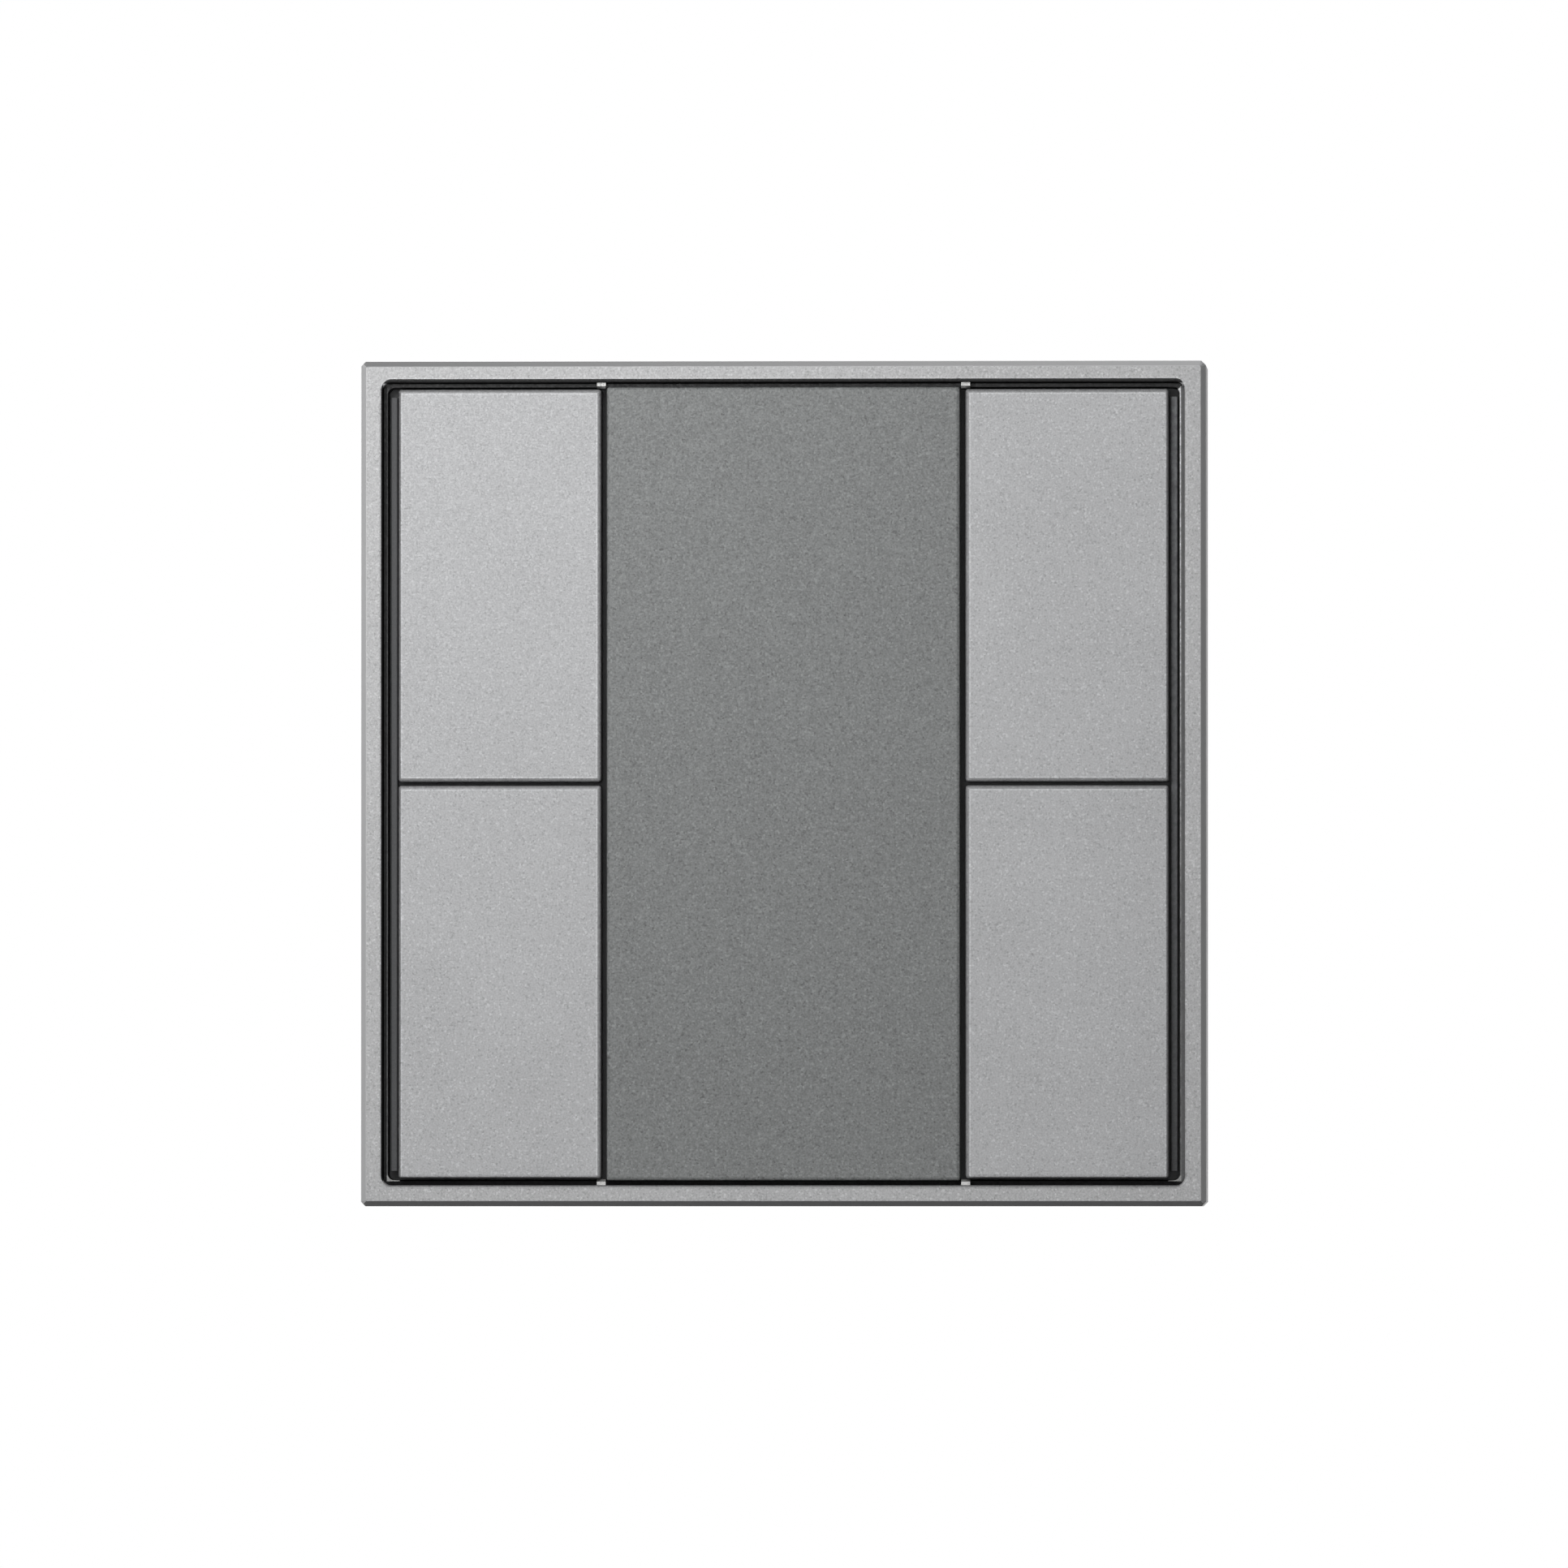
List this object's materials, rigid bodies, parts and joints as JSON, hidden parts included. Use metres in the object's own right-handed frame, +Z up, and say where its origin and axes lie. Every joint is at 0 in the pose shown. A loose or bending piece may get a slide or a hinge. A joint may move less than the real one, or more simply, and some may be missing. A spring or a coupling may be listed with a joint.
{
  "type": "programmable push button switch",
  "caption": "Square wall switch panel: slim metallic frame, tilting push buttons in outer columns, plain dark middle panel, and a rear housing for the wall box.",
  "frame": {"origin": "middle of the face, on the wall's surface, midway between the fixing slots", "axes": "+X to the right as seen from the front, +Y into the wall, +Z up the wall"},
  "size_m": [0.086, 0.0344, 0.086],
  "materials": {
    "frame_finish": "fine silver metallic paint on moulded plastic",
    "button_finish": "fine light grey metallic paint on moulded plastic",
    "panel_finish": "fine dark grey metallic paint on moulded plastic",
    "carrier_plastic": "dark grey moulded plastic",
    "housing_plastic": "light grey moulded plastic",
    "plate_steel": "zinc plated sheet steel",
    "plated_steel": "nickel plated steel",
    "contact_metal": "plated brass",
    "board_laminate": "green solder mask on laminate",
    "switch_plastic": "black moulded plastic",
    "plunger_plastic": "black moulded plastic",
    "chip_plastic": "black moulding compound",
    "choke_core": "dark ferrite, coated",
    "capacitor_can": "bare aluminium can",
    "programming_plastic": "red moulded plastic",
    "lamp_plastic": "tinted lamp body",
    "clear_plastic": "frosted clear plastic"
  },
  "bodies": {
    "base": {"outer_frame": "frame_finish", "middle_panel": "panel_finish", "button_carrier": "carrier_plastic", "circuit_board": "board_laminate", "board_screws": "plated_steel", "switch_bodies": "switch_plastic", "switch_covers": "plated_steel", "control_chip": "chip_plastic", "board_socket": "chip_plastic", "board_header": "chip_plastic", "link_pins": "contact_metal", "coupler_board": "board_laminate", "coupler_screws": "plated_steel", "bus_chip": "chip_plastic", "bus_choke": "choke_core", "storage_capacitor": "capacitor_can", "bus_pins": "contact_metal", "programming_switch": "switch_plastic", "programming_lamp": "lamp_plastic", "light_pipe": "clear_plastic", "mounting_plate": "plate_steel", "rear_housing": "housing_plastic"},
    "upper_left_key": {"upper_left_button": "button_finish"},
    "upper_left_contact": {"upper_left_plunger": "plunger_plastic"},
    "lower_left_key": {"lower_left_button": "button_finish"},
    "lower_left_contact": {"lower_left_plunger": "plunger_plastic"},
    "upper_right_key": {"upper_right_button": "button_finish"},
    "upper_right_contact": {"upper_right_plunger": "plunger_plastic"},
    "lower_right_key": {"lower_right_button": "button_finish"},
    "lower_right_contact": {"lower_right_plunger": "plunger_plastic"},
    "programming_key": {"programming_button": "programming_plastic"}
  },
  "joints": [
    {"name": "upper_left_press", "type": "hinge", "parent": "base", "child": "upper_left_key", "pos_m": [-0.02185, -0.0086, 0.02017], "axis": [0, 0, -1], "range_deg": [0, 2.4], "stiffness_Nm_per_rad": 0.05, "springref_deg": -5.73},
    {"name": "upper_left_plunge", "type": "slide", "parent": "base", "child": "upper_left_contact", "axis": [0, 1, 0], "range_m": [0, 0.00051]},
    {"name": "lower_left_press", "type": "hinge", "parent": "base", "child": "lower_left_key", "pos_m": [-0.02185, -0.0086, -0.02017], "axis": [0, 0, -1], "range_deg": [0, 2.4], "stiffness_Nm_per_rad": 0.05, "springref_deg": -5.73},
    {"name": "lower_left_plunge", "type": "slide", "parent": "base", "child": "lower_left_contact", "axis": [0, 1, 0], "range_m": [0, 0.00051]},
    {"name": "upper_right_press", "type": "hinge", "parent": "base", "child": "upper_right_key", "pos_m": [0.02185, -0.0086, 0.02017], "axis": [0, 0, 1], "range_deg": [0, 2.4], "stiffness_Nm_per_rad": 0.05, "springref_deg": -5.73},
    {"name": "upper_right_plunge", "type": "slide", "parent": "base", "child": "upper_right_contact", "axis": [0, 1, 0], "range_m": [0, 0.00051]},
    {"name": "lower_right_press", "type": "hinge", "parent": "base", "child": "lower_right_key", "pos_m": [0.02185, -0.0086, -0.02017], "axis": [0, 0, 1], "range_deg": [0, 2.4], "stiffness_Nm_per_rad": 0.05, "springref_deg": -5.73},
    {"name": "lower_right_plunge", "type": "slide", "parent": "base", "child": "lower_right_contact", "axis": [0, 1, 0], "range_m": [0, 0.00051]},
    {"name": "programming_press", "type": "slide", "parent": "base", "child": "programming_key", "axis": [0, -1, 0], "range_m": [0, 0.0004], "stiffness_N_per_m": 200, "springref_m": -0.001}
  ],
  "couplings": [
    {"joint": "upper_left_plunge", "follows": "upper_left_press", "m_per_rad": 0.012},
    {"joint": "lower_left_plunge", "follows": "lower_left_press", "m_per_rad": 0.012},
    {"joint": "upper_right_plunge", "follows": "upper_right_press", "m_per_rad": 0.012},
    {"joint": "lower_right_plunge", "follows": "lower_right_press", "m_per_rad": 0.012}
  ]
}
